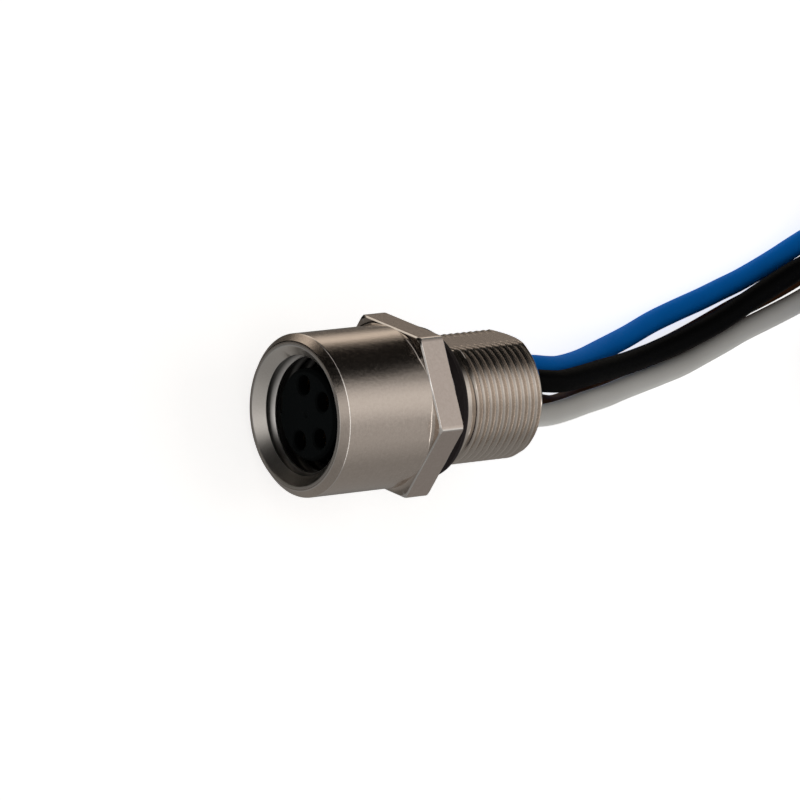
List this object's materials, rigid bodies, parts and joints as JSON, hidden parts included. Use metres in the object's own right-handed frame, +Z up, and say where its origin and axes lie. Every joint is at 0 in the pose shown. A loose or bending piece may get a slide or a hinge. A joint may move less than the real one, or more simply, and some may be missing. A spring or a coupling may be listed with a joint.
{
  "type": "circular sensor panel mount connector",
  "caption": "Round female sensor receptacle: hexagon housing with a threaded mouth, panel thread with a flat, sealing ring and potted single leads.",
  "frame": {"origin": "under the middle of the housing, on the plane of the hexagon's lowest flat", "axes": "+X along the connector axis from the mouth to the leads, +Z up from the flat that it lies on"},
  "size_m": [0.0677, 0.0212, 0.01],
  "materials": {
    "nickel_plate": "satin nickel plate on turned brass",
    "carrier_plastic": "moulded, matt",
    "gold_contact": "gold plate",
    "seal_rubber": "matt",
    "potting_resin": "cast",
    "pvc_brown": "extruded, satin",
    "pvc_white": "extruded, satin",
    "pvc_blue": "extruded, satin",
    "pvc_black": "extruded, satin",
    "lead_bundle": "extruded, satin",
    "tie_nylon": "moulded"
  },
  "bodies": {
    "root": {"housing": "nickel_plate", "contact_carrier": "carrier_plastic", "contact_1": "gold_contact", "contact_2": "gold_contact", "contact_3": "gold_contact", "contact_4": "gold_contact", "panel_seal": "seal_rubber", "potting": "potting_resin", "lead_end_1": "pvc_brown", "lead_end_2": "pvc_white", "lead_end_3": "pvc_blue", "lead_end_4": "pvc_black", "wire_brown": "pvc_brown", "wire_white": "pvc_white", "wire_blue": "pvc_blue", "wire_black": "pvc_black", "wire_coil": "lead_bundle", "coil_tie_1": "tie_nylon", "coil_tie_2": "tie_nylon"}
  },
  "joints": []
}
